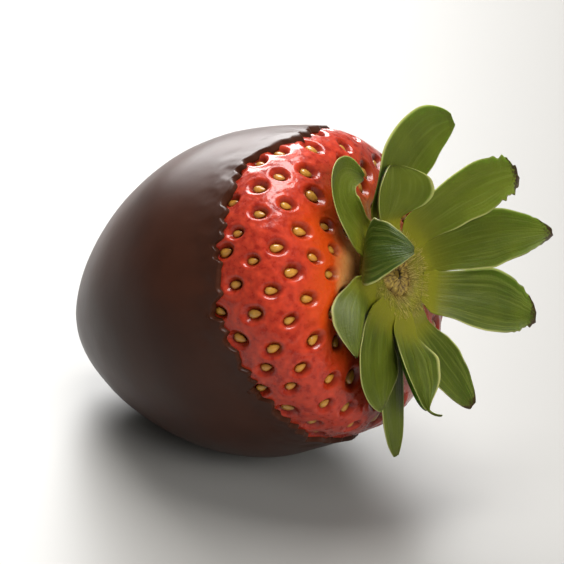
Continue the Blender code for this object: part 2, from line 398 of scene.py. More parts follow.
def addBell(tree, value, width, power):
    # 1 at the middle, falling to nothing past the width.
    share = calculate(tree, "DIVIDE", value, width)
    raised = calculate(tree, "POWER", share, power)
    fall = calculate(tree, "MULTIPLY", raised, -1.0)
    return calculate(tree, "EXPONENT", fall)


def reliefTree():
    # Presses a pit in at every seed, with a soft lip round it, swells the surface between them
    # and makes it uneven. The surface's own "relief" says how strongly, and "pit" keeps how deep
    # in a pit each point is, which the skin's colour uses for painted shade in the pits.
    tree, given = startTree("relief", {
        "Seeds": "Object", "Pit Length": "Float", "Pit Width": "Float", "Pit Depth": "Float",
        "Lip": "Float", "Cushion": "Float", "Unevenness": "Float", "Uneven Size": "Float",
        "Ripple": "Float", "Ripple Size": "Float",
    })
    places = addNode(tree, "GeometryNodeObjectInfo", {"Object": given["Seeds"]}).outputs["Geometry"]
    here = addNode(tree, "GeometryNodeInputPosition")
    nearest = addNode(tree, "GeometryNodeSampleNearest", {"Geometry": places, "Sample Position": here})
    found = {}
    for label, kind in (("place", "FLOAT_VECTOR"), ("grain", "FLOAT_VECTOR"), ("size", "FLOAT")):
        value = here
        if label != "place":
            value = readNamed(tree, label, kind)
        found[label] = addNode(tree, "GeometryNodeSampleIndex", {
            "Geometry": places, "Value": value, "Index": nearest}, data_type=kind)
    offset = calculateVector(tree, "SUBTRACT", here, found["place"])
    along = calculateVector(tree, "DOT_PRODUCT", offset, found["grain"])
    path = calculateVector(tree, "SCALE", found["grain"], along)
    side = calculateVector(tree, "SUBTRACT", offset, path)
    across = calculateVector(tree, "LENGTH", side)
    alongShare = calculate(tree, "DIVIDE", along, given["Pit Length"])
    acrossShare = calculate(tree, "DIVIDE", across, given["Pit Width"])
    both = addNode(tree, "ShaderNodeCombineXYZ", [alongShare, acrossShare])
    length = calculateVector(tree, "LENGTH", both)
    halves = calculate(tree, "DIVIDE", length, found["size"])
    reach = calculate(tree, "MULTIPLY", halves, 2.0)

    dent = addBell(tree, reach, 1.0, 4.0)
    hollow = addBell(tree, reach, 2.0, 2.0)
    fromLip = calculate(tree, "ABSOLUTE", calculate(tree, "SUBTRACT", reach, 1.5))
    swell = addBell(tree, fromLip, 0.35, 2.0)
    deep = calculate(tree, "MULTIPLY", dent, given["Pit Depth"])
    sag = calculate(tree, "MULTIPLY_ADD", hollow, given["Cushion"], deep)
    lipped = calculate(tree, "MULTIPLY", swell, given["Lip"])
    risen = calculate(tree, "SUBTRACT", lipped, sag)
    ripple = addCloud(tree, here, given["Ripple Size"], given["Ripple"], 2.0)
    near = calculate(tree, "ADD", risen, ripple)
    relief = readNamed(tree, "relief", "FLOAT")
    uneven = addCloud(tree, here, given["Uneven Size"], given["Unevenness"], 1.0)
    total = calculate(tree, "MULTIPLY_ADD", near, relief, uneven)
    outward = addNode(tree, "GeometryNodeInputNormal")
    shift = calculateVector(tree, "SCALE", outward, total)

    marked = storeNamed(tree, given["Geometry"], "pit", dent)
    moved = addNode(tree, "GeometryNodeSetPosition", {"Geometry": marked, "Offset": shift})
    addNode(tree, "NodeGroupOutput", [moved])
    return tree


def finishCopies(tree, given, points, shape, rotation, scale):
    # One copy of the shape on every point, each with its own random tone, as a plain mesh.
    copies = addNode(tree, "GeometryNodeInstanceOnPoints", {
        "Points": points, "Instance": shape, "Rotation": rotation, "Scale": scale})
    tone = addNode(tree, "FunctionNodeRandomValue", {"Seed": given["Random Seed"]}, data_type="FLOAT")
    toned = storeNamed(tree, copies, "tone", tone, domain="INSTANCE")
    real = addNode(tree, "GeometryNodeRealizeInstances", [toned])
    painted = addNode(tree, "GeometryNodeSetMaterial", {"Geometry": real, "Material": given["Material"]})
    addNode(tree, "NodeGroupOutput", [painted])


def readDirections(tree, labels):
    return {label: readNamed(tree, label, "FLOAT_VECTOR") for label in labels}


def seedTree():
    # One drop-shaped seed of a few dozen faces, turned and sized at every place, at the same
    # depth below the uneven skin. "along" runs from its blunt end to its point.
    tree, given = startTree("seeds", {
        "Length": "Float", "Width": "Float", "Thickness": "Float", "Sink": "Float",
        "Unevenness": "Float", "Uneven Size": "Float", "Random Seed": "Int", "Material": "Material",
    })
    ball = addNode(tree, "GeometryNodeMeshUVSphere", {"Segments": 10, "Rings": 6, "Radius": 0.5})
    apart = addNode(tree, "ShaderNodeSeparateXYZ", [addNode(tree, "GeometryNodeInputPosition")])
    narrow = calculate(tree, "MULTIPLY_ADD", apart.outputs["X"], -0.75, 1.0)
    wide = calculate(tree, "MULTIPLY", apart.outputs["Y"], narrow)
    tall = calculate(tree, "MULTIPLY", apart.outputs["Z"], narrow)
    marked = storeNamed(tree, ball.outputs["Mesh"], "along", apart.outputs["X"])
    drop = addNode(tree, "ShaderNodeCombineXYZ", [apart.outputs["X"], wide, tall])
    shape = addNode(tree, "GeometryNodeSetPosition", {"Geometry": marked, "Position": drop})
    smooth = addNode(tree, "GeometryNodeSetShadeSmooth", {"Geometry": shape})

    named = readDirections(tree, ("grain", "outward"))
    size = readNamed(tree, "size", "FLOAT")
    turned = addNode(tree, "FunctionNodeAxesToRotation", [named["outward"], named["grain"]],
                     primary_axis="Z", secondary_axis="X")
    tilt = addNode(tree, "FunctionNodeRandomValue", {
        "Min": (-0.16, -0.2, -0.12), "Max": (0.16, 0.2, 0.12), "Seed": given["Random Seed"]},
        data_type="FLOAT_VECTOR")
    tilted = addNode(tree, "FunctionNodeRotateRotation", [
        turned, addNode(tree, "FunctionNodeEulerToRotation", [tilt])], rotation_space="LOCAL")
    sizes = addNode(tree, "ShaderNodeCombineXYZ", [given["Length"], given["Width"], given["Thickness"]])
    scaled = calculateVector(tree, "SCALE", sizes, size)
    here = addNode(tree, "GeometryNodeInputPosition")
    uneven = addCloud(tree, here, given["Uneven Size"], given["Unevenness"], 1.0)
    down = calculate(tree, "SUBTRACT", uneven, given["Sink"])
    below = calculateVector(tree, "SCALE", named["outward"], down)
    sunk = addNode(tree, "GeometryNodeSetPosition", {"Geometry": given["Geometry"], "Offset": below})
    finishCopies(tree, given, sunk, smooth, tilted, scaled)
    return tree


def startMaterial(name):
    material = bpy.data.materials.new(name)
    material.use_nodes = True
    return material, material.node_tree, material.node_tree.nodes["Principled BSDF"]


def millimetres(tree):
    # The surface's own place in millimetres, for patterns of a real size.
    place = addNode(tree, "ShaderNodeTexCoord").outputs["Object"]
    return calculateVector(tree, "SCALE", place, 1.0 / pose["millimetre"])


def readAttributes(tree, labels):
    return [addNode(tree, "ShaderNodeAttribute", attribute_name=label).outputs["Fac"]
            for label in labels]


def skinMaterial():
    # Ripe strawberry skin: a moist, glossy film over soft red flesh, more orange towards the
    # neck, where a pale ring shows under the leaves, with painted shade darkening it down in the pits.
    material, tree, shader = startMaterial("ripeStrawberrySkin")
    place = millimetres(tree)
    pit, neck = readAttributes(tree, ("pit", "neck"))
    cloud = addNoise(tree, place, 1 / 5.0, 3.0)
    mottle = addNoise(tree, place, 1 / 0.9, 4.0)
    wander = calculate(tree, "MULTIPLY_ADD", cloud, 7.0, -3.5)
    radius = calculate(tree, "ADD", neck, wander)

    redShare = remap(tree, mottle, (0.3, 0.7), (0.0, 1.0))
    red = blend(tree, redShare, "#8a1b0c", "#bb3a20")
    orangeShare = fade(tree, radius, 17.0, 11.0)
    orange = blend(tree, orangeShare, red, "#b83f0e")
    paleShare = fade(tree, radius, 10.5, 7.0, 0.85)
    pale = blend(tree, paleShare, orange, "#c08a4e")
    # Painted shade: the colour is darkened towards the bottom of each pit, by the stored pit depth.
    paintedPitShade = calculate(tree, "MULTIPLY", pit, 0.85)
    colour = blend(tree, paintedPitShade, pale, "#5c1004")

    grain = addNoise(tree, place, 1 / 0.55, 3.0)
    bump = addBump(tree, grain, 0.7, 0.00009)
    rough = remap(tree, mottle, (0.0, 1.0), (0.2, 0.38))
    connect(tree, shader, {
        "Base Color": colour, "Roughness": rough, "Normal": bump, "IOR": 1.4,
        "Coat Weight": 0.5, "Coat Roughness": 0.08,
        "Subsurface Weight": 0.2, "Subsurface Radius": (1.0, 0.3, 0.12), "Subsurface Scale": 0.0015,
    })
    return material


def seedMaterial():
    # Strawberry seeds: hard, glossy and golden, browner at the point, each a little greener or
    # browner than the next.
    material, tree, shader = startMaterial("strawberrySeed")
    tone, along = readAttributes(tree, ("tone", "along"))
    grain = addNoise(tree, millimetres(tree), 1 / 0.4, 2.0)
    golden = blend(tree, tone, "#a9661a", "#8f6720")
    streaked = blend(tree, grain, golden, "#c8923a")
    brown = remap(tree, along, (0.1, 0.5), (0.0, 0.7))
    colour = blend(tree, brown, streaked, "#7a4214")
    connect(tree, shader, {
        "Base Color": colour, "Roughness": 0.28, "IOR": 1.5,
        "Coat Weight": 0.9, "Coat Roughness": 0.07,
    })
    return material


def chocolateMaterial():
    # Tempered dark chocolate, dipped and set: smooth and satin, red-brown where it is lit,
    # with a faint bloom that makes the gloss a little uneven.
    material, tree, shader = startMaterial("dippedDarkChocolate")
    place = millimetres(tree)
    cloud = addNoise(tree, place, 1 / 7.0, 4.0)
    fine = addNoise(tree, place, 1 / 1.2, 3.0)
    share = remap(tree, cloud, (0.2, 0.8), (0.0, 1.0))
    colour = blend(tree, share, "#2f160b", "#3f2013")
    rough = remap(tree, share, (0.0, 1.0), (0.34, 0.44))
    bump = addBump(tree, fine, 0.3, 0.00004)
    connect(tree, shader, {
        "Base Color": colour, "Roughness": rough, "Normal": bump, "IOR": 1.46,
        "Specular IOR Level": 0.31, "Subsurface Weight": 0.05,
        "Subsurface Radius": (1.0, 0.5, 0.3), "Subsurface Scale": 0.001,
    })
    return material


def leafMaterial():
    # A fresh sepal: soft olive green with fine lengthwise veins, a thin pale margin, dried brown
    # points, and a yellow-green root where it leaves the collar. Its underside is darker and
    # smoother. Thin enough to glow a little when lit from behind.
    material, tree, shader = startMaterial("freshSepal")
    place = millimetres(tree)
    along, across, under, dried, paintedShading = readAttributes(
        tree, ("along", "across", "under", "dried", "paintedShading"))
    cloud = addNoise(tree, place, 1 / 3.0, 3.0)
    fleck = addNoise(tree, place, 1 / 0.3, 2.0)
    # Painted light and shade: each leaf's green is lightened or darkened by its own number.
    greenShare = calculate(tree, "MULTIPLY_ADD", cloud, 0.9, paintedShading)
    green = blend(tree, greenShare, "#36400d", "#545c16")
    below = blend(tree, under, green, "#303f0c")

    # Streaks run the length of the leaf, a few strong and many faint.
    lengthwise = addNode(tree, "ShaderNodeCombineXYZ", [
        calculate(tree, "MULTIPLY", across, 6.0),
        calculate(tree, "MULTIPLY", along, 0.9), paintedShading])
    streak = addNoise(tree, lengthwise, 1.9, 3.0)
    veinShare = fade(tree, streak, 0.48, 0.7, 0.3)
    veined = blend(tree, veinShare, below, "#6a7230")
    rootShare = fade(tree, along, 0.28, -0.06)
    rooted = blend(tree, rootShare, veined, "#6a6816")
    edge = calculate(tree, "ABSOLUTE", across)
    bladeShare = fade(tree, along, 0.05, 0.35, 0.6)
    edgeShare = fade(tree, edge, 0.92, 0.99, bladeShare)
    edged = blend(tree, edgeShare, rooted, "#b9b674")
    ragged = calculate(tree, "MULTIPLY_ADD", fleck, 0.14, along)
    outer = calculate(tree, "MULTIPLY_ADD", calculate(tree, "POWER", edge, 4.0), 0.08, ragged)
    tipDry = fade(tree, outer, 0.98, 1.03)
    farShare = fade(tree, along, 0.45, 0.8, 0.8)
    marginDry = fade(tree, edge, 0.93, 0.98, farShare)
    dry = calculate(tree, "MAXIMUM", tipDry, marginDry)
    dryShare = calculate(tree, "MULTIPLY", dry, dried)
    colour = blend(tree, dryShare, edged, "#2b1d0d")

    both = calculate(tree, "MULTIPLY_ADD", streak, 2.0, fleck)
    bump = addBump(tree, both, 0.6, 0.00007)
    rough = remap(tree, fleck, (0.0, 1.0), (0.42, 0.6))
    smoother = calculate(tree, "MULTIPLY_ADD", under, -0.12, rough)
    connect(tree, shader, {
        "Base Color": colour, "Roughness": smoother, "Normal": bump, "IOR": 1.4,
        "Specular IOR Level": 0.35, "Subsurface Weight": 0.3,
        "Subsurface Radius": (0.5, 0.8, 0.15), "Subsurface Scale": 0.0008,
    })
    return material


def collarMaterial():
    # The calyx's middle: waxy yellow-green, streaked with fibres that run out from the tan scar.
    material, tree, shader = startMaterial("calyxCollar")
    turn, out = readAttributes(tree, ("turn", "out"))
    polar = addNode(tree, "ShaderNodeCombineXYZ", [
        calculate(tree, "MULTIPLY", turn, 3.0),
        calculate(tree, "MULTIPLY", out, 0.5)])
    streak = addNoise(tree, polar, 5.0, 3.0)
    place = millimetres(tree)
    cloud = addNoise(tree, place, 1 / 1.6, 3.0)
    green = blend(tree, cloud, "#50520f", "#6e6818")
    streakShare = fade(tree, streak, 0.5, 0.72, 0.65)
    streaked = blend(tree, streakShare, green, "#938538")
    scarEdge = calculate(tree, "MULTIPLY_ADD", cloud, 1.8, out)
    scarShare = fade(tree, scarEdge, 4.8, 3.2, 0.85)
    colour = blend(tree, scarShare, streaked, "#5c4619")
    bump = addBump(tree, streak, 0.7, 0.00012)
    connect(tree, shader, {
        "Base Color": colour, "Roughness": 0.5, "Normal": bump, "IOR": 1.42,
        "Subsurface Weight": 0.1, "Subsurface Radius": (0.5, 0.7, 0.15), "Subsurface Scale": 0.0006,
    })
    return material


def stemMaterial():
    # The torn end of the stem: dry, woody fibres that run out from its hole, tan at their tops
    # and brown between them, with painted shade that turns the hole near black.
    material, tree, shader = startMaterial("driedStemFibre")
    turn, out = readAttributes(tree, ("turn", "out"))
    polar = addNode(tree, "ShaderNodeCombineXYZ", [
        calculate(tree, "MULTIPLY", turn, 4.0), out])
    fibre = addNoise(tree, polar, 1.7, 4.0)
    share = remap(tree, fibre, (0.36, 0.64), (0.0, 1.0))
    woody = blend(tree, share, "#46341a", "#8a7434")
    # Painted shade: the hollow in the middle is coloured near black.
    paintedHoleShade = fade(tree, out, 0.85, 0.55, 0.95)
    colour = blend(tree, paintedHoleShade, woody, "#120a04")
    bump = addBump(tree, fibre, 0.9, 0.00012)
    connect(tree, shader, {"Base Color": colour, "Roughness": 0.75, "Normal": bump, "IOR": 1.45})
    return material


def hairMaterial():
    # Fine plant hairs and dried stamens: straw-coloured and slightly silky.
    material, tree, shader = startMaterial("calyxHair")
    tone, = readAttributes(tree, ("tone",))
    colour = blend(tree, tone, "#75682a", "#a89850")
    connect(tree, shader, {"Base Color": colour, "Roughness": 0.5, "IOR": 1.45})
    return material


skin = {
    "columns": 640,
    "belowEdge": 2.2,       # the fine rows start this far under the chocolate
    "fineTo": 5.0,          # distance from the calyx axis at which the skin is covered again
    "fineRows": 124,
    "hiddenRows": 14,
    "neckRows": 6,
    "smoothNeck": 5.5,      # no relief nearer to the calyx axis than this
    "smoothOver": 2.0,
    "unevenness": 0.5,
    "unevenSize": 7.0,
    "ripple": 0.1,
    "rippleSize": 1.1,
}


def makeSkin(relief, material):
    angle = np.linspace(0.0, 2.0 * math.pi, skin["columns"], endpoint=False)[None, :]
    first = rimHeight(angle) - skin["belowEdge"]
    start = np.interp(first, profileHeight, profileLength)
    last = profileLength[-1]
    stop = last - skin["fineTo"]
    hidden = start * np.linspace(0.0, 1.0, skin["hiddenRows"] + 1)[1:-1, None]
    fine = mix(start, stop, np.linspace(0.0, 1.0, skin["fineRows"])[:, None])
    neck = mix(stop, last, np.linspace(0.0, 1.0, skin["neckRows"] + 1)[1:-1, None] + 0.0 * angle)
    along = np.concatenate([hidden, fine, neck])
    height = np.interp(along, profileLength, profileHeight)
    rows = fruitPoints(angle + 0.0 * height, height)
    poles = [fruitPoints(np.array(0.0), np.array(fruit[end])) for end in ("tip", "top")]
    fromNeck = smoothStep((neckDistance(rows) - skin["smoothNeck"]) / skin["smoothOver"])
    shown = smoothStep(height - first) * fromNeck
    thing = closedMesh("berry_skin", rows, poles, {"relief": shown, "neck": neckDistance(rows)})
    growMesh(thing, relief, {
        "Seeds": pitPlaces, "Pit Length": seeds["pitLength"], "Pit Width": seeds["pitWidth"],
        "Pit Depth": seeds["pitDepth"], "Lip": seeds["lip"], "Cushion": seeds["cushion"],
        "Unevenness": skin["unevenness"], "Uneven Size": skin["unevenSize"],
        "Ripple": skin["ripple"], "Ripple Size": skin["rippleSize"],
    })
    thing.data.materials.append(material)
    settle(thing, ["berry"])


def makeSeeds(material):
    # Only the seeds that the chocolate leaves bare are made.
    bare = seedHeights > edgeHeight(seedAngles) - seeds["covered"]
    attributes = {label: values[bare] for label, values in seedAttributes.items()}
    thing = addObject("seeds", seedPoints[bare], [], attributes)
    growMesh(thing, seedTree(), {
        "Length": seeds["length"], "Width": seeds["width"], "Thickness": seeds["thickness"],
        "Sink": seeds["sink"], "Unevenness": skin["unevenness"], "Uneven Size": skin["unevenSize"],
        "Random Seed": seeds["randomSeed"], "Material": material,
    })
    settle(thing)


coat = {
    "tip": 0.9,
    "radius": 20.8,
    "shoulder": 4.5,
    "edgeThickness": 0.5,
    "thinning": 12.0,       # the coat thins over this height below its edge
    "detail": 1.6,          # the edge's scallops and bays reach this far down
    "lip": 0.4,
    "lipUnder": 0.45,       # how far the lip runs down into the skin
    "lipSteps": 5,
    "gap": 0.3,             # the inner surface stands off this far before it is let down
    "inside": 0.8,          # how far it fills down into the pits
    "pitSpread": 1.3,       # the pits under it show through wider and softer
    "columns": 800,
    "coneRows": 44,
    "rimRows": 46,
    "rimStretch": 9.0,
    "innerRows": 12,
    "dimple": 0.12,
    "unevenness": 0.35,
    "unevenSize": 11.0,
    "ripple": 0.3,
    "rippleSize": 3.4,
    "rippled": 7.0,         # height below the edge over which the surface ripples
    "footEase": 0.15,
}


def makeCoat(relief, material):
    angle = np.linspace(0.0, 2.0 * math.pi, coat["columns"], endpoint=False)
    smooth = rimHeight(angle)
    detail = edgeHeight(angle) - smooth
    turn = np.linspace(0.0, 1.0, coat["coneRows"] + 1)[1:]
    cone = (1.0 - np.cos(0.5 * math.pi * turn)) * (1.0 - coat["rimStretch"] / rim["height"])
    upper = np.linspace(cone[-1], 1.0, coat["rimRows"] + 1)[1:]
    rows, reliefs = [], []
    for share in np.concatenate([cone, upper]):
        height = mix(coat["tip"], smooth, share)
        full = outline(height, coat["tip"], coat["radius"], coat["shoulder"])
        thin = smoothStep((height - smooth + coat["thinning"]) / coat["thinning"])
        edged = height + detail * smoothStep((height - smooth + coat["detail"]) / coat["detail"])
        reach = mix(full, fruitOutline(edged) + coat["edgeThickness"], thin)
        rows.append(bodyPoints(angle, reach, edged))
        reliefs.append(smoothStep((height - smooth + coat["rippled"]) / coat["rippled"]))
    edge = smooth + detail
    for step in range(1, coat["lipSteps"] + 1):
        roll = 0.5 * math.pi * step / coat["lipSteps"]
        height = edge + coat["lip"] * math.sin(roll)
        over = mix(-coat["lipUnder"], coat["edgeThickness"], math.cos(roll))
        rows.append(bodyPoints(angle, fruitOutline(height) + over, height))
        reliefs.append(np.ones_like(angle))
    innerTip = fruit["tip"] - coat["gap"]
    for step in range(coat["innerRows"], 0, -1):
        share = 1.0 - math.cos(0.5 * math.pi * step / coat["innerRows"])
        height = mix(innerTip, edge - 0.2, share)
        flesh = outline(height, innerTip, fruit["radius"] + coat["gap"], fruit["shoulder"])
        rows.append(bodyPoints(angle, np.maximum(flesh - coat["inside"], 0.1 * flesh), height))
        reliefs.append(np.zeros_like(angle))
    poles = [(0.0, 0.0, coat["tip"]), (0.0, 0.0, innerTip)]
    thing = closedMesh("chocolate_shell", np.array(rows), poles, {"relief": np.array(reliefs)})
    growMesh(thing, relief, {
        "Seeds": pitPlaces, "Pit Length": seeds["pitLength"] * coat["pitSpread"],
        "Pit Width": seeds["pitWidth"] * coat["pitSpread"],
        "Pit Depth": coat["dimple"], "Lip": 0.0, "Cushion": 0.0,
        "Unevenness": coat["unevenness"], "Uneven Size": coat["unevenSize"],
        "Ripple": coat["ripple"], "Ripple Size": coat["rippleSize"],
    })
    thing.data.materials.append(material)
    settle(thing, ["chocolate_coat"])
    flattenFoot(thing)


def flattenFoot(thing):
    # What would hang below the floor set flat on it.
    places = np.empty(len(thing.data.vertices) * 3, np.float32)
    thing.data.vertices.foreach_get("co", places)
    height = places[2::3] / pose["millimetre"]
    eased = 0.5 * (height + np.sqrt(height ** 2 + coat["footEase"] ** 2))
    places[2::3] = np.where(height < 2.0, eased, height) * pose["millimetre"]
    thing.data.vertices.foreach_set("co", places)
    thing.data.update()


collar = {
    "outline": ((0.0, 1.5), (1.6, 1.55), (2.6, 1.8), (3.3, 2.3), (4.1, 2.65), (5.2, 2.55),
                (6.0, 2.1), (6.25, 1.4), (6.1, 0.8), (5.3, 0.2), (4.0, 0.0)),
    "topPoints": 8,         # how many of them are on top
    "steps": 90,
    "columns": 220,
    "fibres": 0.09,
    "lumps": 0.16,
}


def smoothRun(points, steps, window):
    # A run of even steps along a line of points, rounded over a window of them.
    points = np.array(points, float)
    length = np.concatenate([[0.0], np.cumsum(np.linalg.norm(np.diff(points, axis=0), axis=1))])
    fine = np.linspace(0.0, length[-1], steps)
    straight = np.stack([np.interp(fine, length, column) for column in points.T], axis=-1)
    padded = np.pad(straight, ((window // 2, window // 2), (0, 0)), mode="edge")
    return np.mean([padded[shift:shift + steps] for shift in range(window)], axis=0)


def turnedRows(profile, columns, lean=(0.0, 0.0)):
    # Rings round the calyx's middle, the innermost ones shifted aside by the lean.
    angle = np.linspace(0.0, 2.0 * math.pi, columns, endpoint=False)
    radius, height = profile[:, :1], profile[:, 1:]
    inner = 1.0 - radius / radius.max()
    return np.stack([
        fruit["neckDrop"] - radius * np.cos(angle) + inner * lean[0],
        radius * np.sin(angle) + inner * lean[1],
        fruit["neckHeight"] + height + 0.0 * angle,
    ], axis=-1), angle


def polarNoise(radius, angle, spread, depth, layer):
    # Noise over rings of these radii: the spread sets how often it changes round a ring, and the
    # depth how often from ring to ring.
    return np.array([[noise.noise(Vector((
        math.cos(turn) * spread(reach), math.sin(turn) * spread(reach), reach * depth + layer)))
        for turn in angle] for reach in radius])


def collarHeight(radius):
    top = np.array(collar["outline"][:collar["topPoints"]])
    return np.interp(radius, top[:, 0], top[:, 1])


def makeCollar(material):
    profile = smoothRun(collar["outline"], collar["steps"], 9)[::-1]
    rows, angle = turnedRows(profile, collar["columns"])
    fibre = polarNoise(profile[:, 0], angle, lambda reach: 11.0, 0.35, 0.0)
    lump = polarNoise(profile[:, 0], angle, lambda reach: 0.6 * reach, 0.0, 4.0)
    top = smoothStep(profile[:, 1] / 1.2)[:, None]
    rows[..., 2] += (collar["fibres"] * fibre + collar["lumps"] * lump) * top
    attributes = {"turn": angle[None, :], "out": profile[:, :1]}
    poles = [rows[0].mean(axis=0), rows[-1].mean(axis=0)]
    thing = closedMesh("calyx_middle", rows, poles, attributes)
    thing.data.materials.append(material)
    settle(thing, ["calyx_collar"])


stub = {
    "outline": ((2.6, 1.3), (2.7, 1.75), (2.4, 2.05), (1.9, 2.12), (1.3, 2.0), (0.8, 1.9),
                (0.5, 1.6), (0.35, 1.25), (0.2, 1.2)),
    "steps": 56,
    "columns": 120,
    "lean": (0.1, 0.85),   # the hole is off the middle
    "torn": 0.6,
    "fibres": 0.2,
}


def makeStub(material):
    profile = smoothRun(stub["outline"], stub["steps"], 7)
    rows, angle = turnedRows(profile, stub["columns"], stub["lean"])
    torn = polarNoise(profile[:, 0], angle, lambda reach: 2.2, 0.7, 8.0)
    fibre = polarNoise(profile[:, 0], angle, lambda reach: 9.0, 0.4, 3.0)
    raised = smoothStep((profile[:, 1:] - 1.5) / 0.5)
    rows[..., 2] += (stub["torn"] * torn + stub["fibres"] * fibre) * raised
    attributes = {"turn": angle[None, :], "out": profile[:, :1]}
    poles = [rows[0].mean(axis=0), rows[-1].mean(axis=0)]
    thing = closedMesh("stem_scar", rows, poles, attributes)
    thing.data.materials.append(material)
    settle(thing, ["stem_stub"])


hairs = {
    "count": 900,
    "first": 1.9,
    "last": 5.2,
    "shortest": 0.4,
    "longest": 1.1,
    "thickness": 0.036,
    "onScar": 2.2,          # those nearer than this are rooted on the scar
    "scarHeight": 2.4,
    "stand": 0.12,          # how steeply they rise, and how much that varies
    "least": 0.06,
    "sway": 0.3,
    "randomSeed": 11,
}


def hairTree():
    # One bent, tapered hair of a few dozen faces, turned and sized at every place.
    tree, given = startTree("hairs", {
        "Thickness": "Float", "Shortest": "Float", "Longest": "Float", "Random Seed": "Int",
        "Material": "Material",
    })
    line = addNode(tree, "GeometryNodeCurvePrimitiveLine", {"End": (1.0, 0.0, 0.0)})
    points = addNode(tree, "GeometryNodeResampleCurve", {"Curve": line, "Count": 5})
    apart = addNode(tree, "ShaderNodeSeparateXYZ", [addNode(tree, "GeometryNodeInputPosition")])
    square = calculate(tree, "POWER", apart.outputs["X"], 2.0)
    rise = calculate(tree, "MULTIPLY", square, 0.25)
    bent = addNode(tree, "GeometryNodeSetPosition", {
        "Geometry": points, "Offset": addNode(tree, "ShaderNodeCombineXYZ", [0.0, 0.0, rise])})
    taper = remap(tree, apart.outputs["X"], (0.0, 1.0), (1.0, 0.15))
    tapered = addNode(tree, "GeometryNodeSetCurveRadius", {"Curve": bent, "Radius": taper})
    ring = addNode(tree, "GeometryNodeCurvePrimitiveCircle", {
        "Resolution": 4, "Radius": given["Thickness"]})
    hair = addNode(tree, "GeometryNodeCurveToMesh", {
        "Curve": tapered, "Profile Curve": ring.outputs["Curve"], "Fill Caps": True})
    named = readDirections(tree, ("grain", "outward"))
    turned = addNode(tree, "FunctionNodeAxesToRotation", [named["grain"], named["outward"]],
                     primary_axis="X", secondary_axis="Z")
    length = addNode(tree, "FunctionNodeRandomValue", {
        "Min": given["Shortest"], "Max": given["Longest"], "Seed": given["Random Seed"]},
        data_type="FLOAT")
    scale = addNode(tree, "ShaderNodeCombineXYZ", [length, 1.0, length])
    finishCopies(tree, given, given["Geometry"], hair, turned, scale)
    return tree


def makeHairs(material):
    # Hairs lie out from the scar over the collar, a few of them standing up.
    randomness = np.random.default_rng(hairs["randomSeed"])
    count = hairs["count"]
    turn = randomness.uniform(0.0, 2.0 * math.pi, count)
    reach = randomness.uniform(hairs["first"] ** 2, hairs["last"] ** 2, count) ** 0.5
    out = np.stack([-np.cos(turn), np.sin(turn), 0.0 * turn], axis=-1)
    places = out * reach[:, None] + (fruit["neckDrop"], 0.0, fruit["neckHeight"])
    scar = np.where(reach < hairs["onScar"], hairs["scarHeight"], 0.0)
    places[:, 2] += np.maximum(collarHeight(reach), scar)
    slope = (collarHeight(reach + 0.3) - collarHeight(reach)) / 0.3
    sway = randomness.normal(0.0, hairs["sway"], count)[:, None]
    grain = out + np.cross(out, (0.0, 0.0, 1.0)) * sway
    rise = np.abs(randomness.normal(0.0, hairs["stand"], count)) + hairs["least"]
    grain[:, 2] = np.minimum(slope, 0.3) + rise
    grain /= np.linalg.norm(grain, axis=1)[:, None]
    upward = np.repeat([[0.0, 0.0, 1.0]], count, axis=0)
    thing = addObject("calyx_hairs", places, [], {"grain": grain, "outward": upward})
    growMesh(thing, hairTree(), {
        "Thickness": hairs["thickness"] * 0.5, "Shortest": hairs["shortest"],
        "Longest": hairs["longest"], "Random Seed": hairs["randomSeed"], "Material": material,
    })
    settle(thing)


leafForm = {
    "root": 6.6,
    "layers": {
        # The leaf's height at its root, and the way its base wraps inwards over the collar.
        "upper": (2.1, ((4.2, 2.3), (4.9, 2.75), (5.6, 2.7), (6.2, 2.4))),
        "lower": (1.5, ((4.6, 2.2), (5.2, 2.5), (5.8, 2.3), (6.3, 1.8))),
    },
    "rootWidth": 0.62,
    "tuckNarrowing": 0.45,
    "widest": 0.5,
    "pointPower": 1.7,
    "pointRoundness": 0.75,
    "tipWidth": 0.03,
    "thickness": 0.34,
    "edgeThickness": 0.12,
    "spineRows": 96,
    "easing": 17,           # rows over which the bend at the root is rounded
    "acrossColumns": 40,
    "veins": 9,
    "veinHeight": 0.02,
    "marginWave": 0.2,
    "rippleCount": 9.0,
    "wander": 0.06,
}

